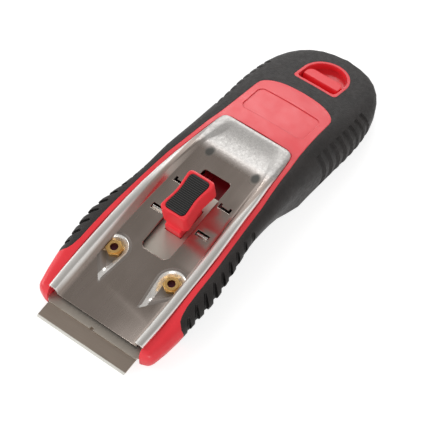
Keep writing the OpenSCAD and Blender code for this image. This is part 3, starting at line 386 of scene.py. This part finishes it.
finishes = {
    "red": moulded_red("red_plastic", rgb(0.90, 0.042, 0.057), rgb(0.85, 0.032, 0.046),
                       rough=0.33, trough=True),
    "button": moulded_red("button_plastic", rgb(0.95, 0.036, 0.050), rgb(0.90, 0.029, 0.042),
                          rough=0.38),
    "rubber": grained_rubber("grip_rubber", rgb(0.016, 0.0135, 0.0125), rgb(0.025, 0.0205, 0.019),
                             rough=0.56, grain=0.6, pores=2600),
    "pad": grained_rubber("pad_rubber", grey(0.016), grey(0.022),
                          rough=0.5, grain=0.1, pores=3000, edge=0.00005, crest=rgb(0.036, 0.035, 0.034)),
    "cover": pressed_steel("cover_steel"),
    # The bowls: a lighter copy of the steel with a painted highlight for the wall, and a darker one with
    # painted shade for the rest
    "bowl": rolled_steel("bowl_lit_steel", rgb(0.86, 0.84, 0.81), rgb(0.80, 0.78, 0.75),
                         rough=0.26, waves=(200, 900, 200), streak=0.1, metal=0.5),
    "bowl_shaded": rolled_steel("bowl_shaded_steel", rgb(0.235, 0.205, 0.185), rgb(0.205, 0.18, 0.16),
                               rough=0.5, waves=(60, 700, 60), streak=0.1, metal=0.3),
    "plate": rolled_steel("plate_steel", rgb(0.67, 0.63, 0.56), rgb(0.61, 0.575, 0.51),
                          rough=0.46, waves=(200, 2200, 200), streak=0.2, head=rgb(0.54, 0.49, 0.43)),
    "blade": ground_steel("blade_steel", rgb(0.50, 0.42, 0.355), rgb(0.455, 0.38, 0.32), rough=0.36),
    "spare": rolled_steel("spare_blade_steel", rgb(0.46, 0.42, 0.365), rgb(0.42, 0.38, 0.33),
                          rough=0.34, waves=(2400, 150, 300), streak=0.2),
    "spring": rolled_steel("spring_steel", rgb(0.62, 0.60, 0.57), rgb(0.57, 0.55, 0.52),
                           rough=0.24, waves=(200, 1600, 200)),
    "fastener": rolled_steel("fastener_steel", rgb(0.50, 0.49, 0.48), rgb(0.44, 0.43, 0.42),
                             rough=0.32, waves=(900, 900, 900), streak=0.2),
    # Screws in the nut bores: blackened steel, its dark red tint a painted reflection of the red shell
    "dark": rolled_steel("blackened_steel_red_reflection", rgb(0.10, 0.032, 0.045), rgb(0.06, 0.02, 0.03),
                         rough=0.5, waves=(900, 900, 900), streak=0.2),
    "brass": rolled_steel("nut_brass", rgb(1.0, 0.66, 0.26), rgb(0.88, 0.53, 0.18),
                          rough=0.3, waves=(900, 900, 900), streak=0.12),
}
coats = {
    "upper_shell": "red", "lower_shell": "red", "grip_sleeve": "rubber", "steel_cover": "cover",
    "cover_nuts": "brass", "cover_screws": "dark", "blade_carrier": "plate", "blade_clamp": "spring",
    "clamp_rivets": "fastener", "blade": "blade", "lock_spring": "spring", "spring_rivets": "fastener",
    "slide_button": "button", "button_pad": "pad", "button_rivet": "fastener", "door_latch": "button",
    "latch_spring": "spring", "storage_door": "red", "door_hinge_pin": "fastener", "spare_blades": "spare",
    "stack_spring": "spring", "shell_screws": "fastener",
}


# Shading of the solids: an edge stays sharp where the surface turns by more than its angle in degrees
SHARP_TURN = 32
WIDER_TURNS = {"steel_cover": 62}
WELD = 1e-6
ROUNDED_EDGES = {"storage_door": 0.0003}
SOFT_VOXELS = {"slide_button": 0.00018, "door_latch": 0.0002}
SOFT_PASSES = {"slide_button": 18, "door_latch": 5}


def smoothed(obj, turn, rounding):
    """Smooth shading between the solid's facets, with sharp or rounded edges where it really turns."""
    obj.data.shade_smooth()
    weld = obj.modifiers.new("weld", "WELD")
    weld.merge_threshold = WELD
    if rounding:
        bevel = obj.modifiers.new("rounding", "BEVEL")
        bevel.width = rounding
        bevel.segments = 2
        bevel.limit_method = "ANGLE"
        bevel.angle_limit = math.radians(turn)
        bevel.use_clamp_overlap = True
    split = obj.modifiers.new("split", "EDGE_SPLIT")
    split.split_angle = math.radians(turn)
    split.use_edge_sharp = False


def softened(obj, voxel, passes):
    """Moulded edges: a fine remesh, smoothed until the corners are round."""
    remesh = obj.modifiers.new("remesh", "REMESH")
    remesh.mode = "VOXEL"
    remesh.voxel_size = voxel
    remesh.use_smooth_shade = True
    smooth = obj.modifiers.new("smooth", "SMOOTH")
    smooth.factor = 0.5
    smooth.iterations = passes


for name, obj in nodes.items():
    mesh = obj.data
    if "custom_normal" in mesh.attributes:
        mesh.attributes.remove(mesh.attributes["custom_normal"])
    if name in SOFT_VOXELS:
        softened(obj, SOFT_VOXELS[name], SOFT_PASSES[name])
    else:
        smoothed(obj, WIDER_TURNS.get(name, SHARP_TURN), ROUNDED_EDGES.get(name, 0))
    mesh.materials.clear()
    mesh.materials.append(finishes[coats[name]])


# Springs rebuilt from their nodes
def flexible(node_name, label, planes):
    """A spring that stands for its node: the node's own form, cut by the planes into lengths."""
    mesh = bpy.data.meshes.new(label)
    spring = bpy.data.objects.new(label, mesh)
    scene.collection.objects.link(spring)
    bm = bmesh.new()
    bm.from_mesh(nodes[node_name].data)
    bmesh.ops.remove_doubles(bm, verts=bm.verts, dist=WELD)
    for point, across in planes:
        everything = bm.verts[:] + bm.edges[:] + bm.faces[:]
        bmesh.ops.bisect_plane(bm, geom=everything, plane_co=point, plane_no=across)
    bm.to_mesh(mesh)
    bm.free()
    mesh.shade_smooth()
    mesh.set_sharp_from_angle(angle=math.radians(SHARP_TURN))
    mesh.materials.append(finishes[coats[node_name]])
    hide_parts(node_name)
    return spring


# The leaf of the lock is held by its rivets up to LEAF_FIXED and goes with the button from LEAF_FREE on; it
# is cut into lengths between these places
LEAF_FIXED = 0.0410
LEAF_FREE = 0.0505
LEAF_BENDS = 12
along_deck = on_deck(1, 0, 0) - on_deck(0, 0, 0)
cuts = []
for bend in range(LEAF_BENDS + 1):
    cut_s = LEAF_FIXED + (LEAF_FREE - LEAF_FIXED) * bend / LEAF_BENDS
    cuts.append((on_deck(cut_s, 0, 0), along_deck))
leaf = flexible("lock_spring", "lock_leaf", cuts)
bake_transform(leaf)

# The coil of the latch shortens by the latch's travel, towards its rear end; here it is a copy of its node,
# hung on the body
coil = flexible("latch_spring", "latch_coil", [])
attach(coil, "body")
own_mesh(coil)


# Pressed bowl round each nut: a rounded wall at the rear and the inner side, and a ramp drawn out to a tip
NUT_S = 0.0347
NUT_Y = 0.0126
SEAT_R = 0.0027
BOWL_R = 0.0053
BOWL_OUTER_SIDE = 0.0031
BOWL_DEPTH = 0.00176
BOWL_WALL = 0.0025
RAMP_LENGTH = 0.0095

# The part of the wall with a painted highlight, a lighter and smoother copy of the steel, lies between these
# depths inside the outline; the rest of the bowl gets a darker, duller copy with painted shade
HIGHLIGHT_FROM = 0.0002
HIGHLIGHT_TO = 0.9 * BOWL_WALL

# The tip's place from the nut's middle along s and y, and the turn at which its tangents meet the round part
TIP = (-0.012, -0.00371)
TIP_REACH = math.hypot(*TIP)
TIP_ANGLE = math.atan2(TIP[1], TIP[0])
SPREAD = math.acos(BOWL_R / TIP_REACH)

# Raised lip along the wall: it fades out over an angle on its inner and outer side, and a distance at the tip
LIP_HEIGHT = 0.00016
LIP_WIDTH = 0.0007
LIP_INNER_FADE = 0.5
LIP_OUTER_FADE = 0.8
LIP_TIP_FADE = 0.004

# Mesh of the bowl. Its brim lies a skin's height over the panel, and the outermost ring is tucked below it
AROUND = 240
RINGS_DOWN = 28
BRIM_RINGS = 4
BRIM_STEP = 0.00025
SKIN = 0.00003
TUCKED = -0.00002


def ease(value):
    value = min(1, max(0, value))
    return value * value * (3 - 2 * value)


def bowl_outline(turn, grow):
    """Distance from the nut's middle to the bowl's outline, turn being counted from the tip."""
    radius = BOWL_R + grow
    reach = radius / math.cos(SPREAD - abs(turn)) if abs(turn) < SPREAD else radius
    outward = math.sin(TIP_ANGLE + turn)
    return min(reach, (BOWL_OUTER_SIDE + grow) / outward) if outward > 0 else reach


def bowl_height(turn, radius):
    """Height of a point of the bowl over the panel, and its depth inside the inner wall."""
    if abs(turn) < SPREAD:
        inner = BOWL_R - radius * math.cos(SPREAD - turn)
        outer = BOWL_R - radius * math.cos(SPREAD + turn)
    else:
        inner = BOWL_R - radius
        outer = BOWL_R
    ramp = ease((TIP_REACH - radius * math.cos(turn)) / RAMP_LENGTH)
    drop = BOWL_DEPTH * ease(inner / BOWL_WALL) * ease(outer / BOWL_WALL) * ramp
    walled = ease(turn / LIP_INNER_FADE) if turn > 0 else ease((-turn - SPREAD) / LIP_OUTER_FADE)
    past_tip = ease(radius * abs(math.sin(turn)) / LIP_TIP_FADE)
    lip = LIP_HEIGHT * walled * past_tip * max(0, 1 - (inner / LIP_WIDTH) ** 2)
    return SKIN + lip - drop, inner


def bowl_point(side, turn, ring):
    """Place of a point of the bowl and its depth inside the wall. The brim's rings have numbers below 0."""
    reach = bowl_outline(turn, max(0, -ring) * BRIM_STEP)
    radius = reach + (SEAT_R - reach) * max(0, ring) / RINGS_DOWN
    height, inner = bowl_height(turn, radius)
    if ring == -BRIM_RINGS:
        height = TUCKED
    s = NUT_S + radius * math.cos(TIP_ANGLE + turn)
    y = NUT_Y + radius * math.sin(TIP_ANGLE + turn)
    return on_deck(s, side * y, height), inner


def pressed_bowl(name, side):
    mesh = bpy.data.meshes.new(name)
    bowl = bpy.data.objects.new(name, mesh)
    scene.collection.objects.link(bowl)
    bm = bmesh.new()
    rings = []
    for k in range(-BRIM_RINGS, RINGS_DOWN + 1):
        ring = []
        for i in range(AROUND):
            turn = math.remainder(2 * math.pi * i / AROUND, 2 * math.pi)
            place, inner = bowl_point(side, turn, k)
            ring.append((bm.verts.new(place), inner))
        rings.append(ring)
    for upper, lower in zip(rings, rings[1:]):
        for i in range(AROUND):
            j = (i + 1) % AROUND
            face = bm.faces.new((upper[i][0], upper[j][0], lower[j][0], lower[i][0]))
            face.smooth = True
            # The lighter copy with the painted highlight on the wall, the darker copy with painted shade
            # elsewhere
            face.material_index = 0 if HIGHLIGHT_FROM < lower[i][1] < HIGHLIGHT_TO else 1
    bmesh.ops.recalc_face_normals(bm, faces=bm.faces)
    bm.to_mesh(mesh)
    bm.free()
    mesh.materials.append(finishes["bowl"])
    mesh.materials.append(finishes["bowl_shaded"])
    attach(bowl, "body")


pressed_bowl("nut_bowl_left", 1)
pressed_bowl("nut_bowl_right", -1)


# Floor
def glowing_paper(name, colour, glow):
    """Matt paper. Its glow shows to the camera and in glossy and clear surfaces, and lights nothing else."""
    g = Graph(name)
    g.tree.nodes.remove(g.shader)
    diffuse = g.node("ShaderNodeBsdfDiffuse")
    diffuse.inputs["Color"].default_value = colour
    rays = g.node("ShaderNodeLightPath").outputs
    shown = g.math("MAXIMUM", rays["Is Camera Ray"], rays["Is Glossy Ray"], rays["Is Transmission Ray"])
    emission = g.node("ShaderNodeEmission")
    g.link(g.math("MULTIPLY", shown, glow), emission.inputs["Strength"])
    both = g.node("ShaderNodeAddShader")
    g.link(diffuse.outputs["BSDF"], both.inputs[0])
    g.link(emission.outputs["Emission"], both.inputs[1])
    g.link(both.outputs["Shader"], g.tree.nodes["Material Output"].inputs["Surface"])
    return g.material


FLOOR_SIZE = 6
FLOOR_Z = -0.00005
bpy.ops.mesh.primitive_plane_add(size=FLOOR_SIZE, location=(0, 0, FLOOR_Z))
floor = bpy.context.object
floor.name = "floor"
floor.data.materials.append(glowing_paper("floor_paper", grey(0.5), glow=0.75))


# World: pale round the horizon and grey overhead
def graded_world(low_colour, high_colour, low_end, high_start):
    world = bpy.data.worlds.new("world")
    world.use_nodes = True
    tree = world.node_tree
    background = tree.nodes["Background"]
    background.inputs["Strength"].default_value = 1.0
    direction = tree.nodes.new("ShaderNodeTexCoord")
    split = tree.nodes.new("ShaderNodeSeparateXYZ")
    ramp = tree.nodes.new("ShaderNodeValToRGB")
    tree.links.new(direction.outputs["Generated"], split.inputs["Vector"])
    tree.links.new(split.outputs["Z"], ramp.inputs["Fac"])
    tree.links.new(ramp.outputs["Color"], background.inputs["Color"])
    stops = ((low_end, low_colour), (high_start, high_colour))
    for element, (position, colour) in zip(ramp.color_ramp.elements, stops):
        element.position = position
        element.color = colour
    return world


scene.world = graded_world(grey(0.95), rgb(0.31, 0.30, 0.29), low_end=0.3, high_start=0.86)


# Lamps
LAMP_TARGET = (0, 0, 0.01)


def softbox(name, place, size, watts):
    data = bpy.data.lights.new(name, "AREA")
    data.shape = "RECTANGLE"
    data.size, data.size_y = size
    data.energy = watts
    lamp = bpy.data.objects.new(name, data)
    scene.collection.objects.link(lamp)
    lamp.location = place
    look_at(lamp, LAMP_TARGET)


softbox("key", place=(-0.66, -0.40, 0.62), size=(0.5, 0.4), watts=3.0)
softbox("side", place=(0.35, -0.8, 0.35), size=(0.6, 0.3), watts=2.5)
softbox("front", place=(0.9, 0.45, 0.25), size=(0.5, 0.3), watts=2.0)
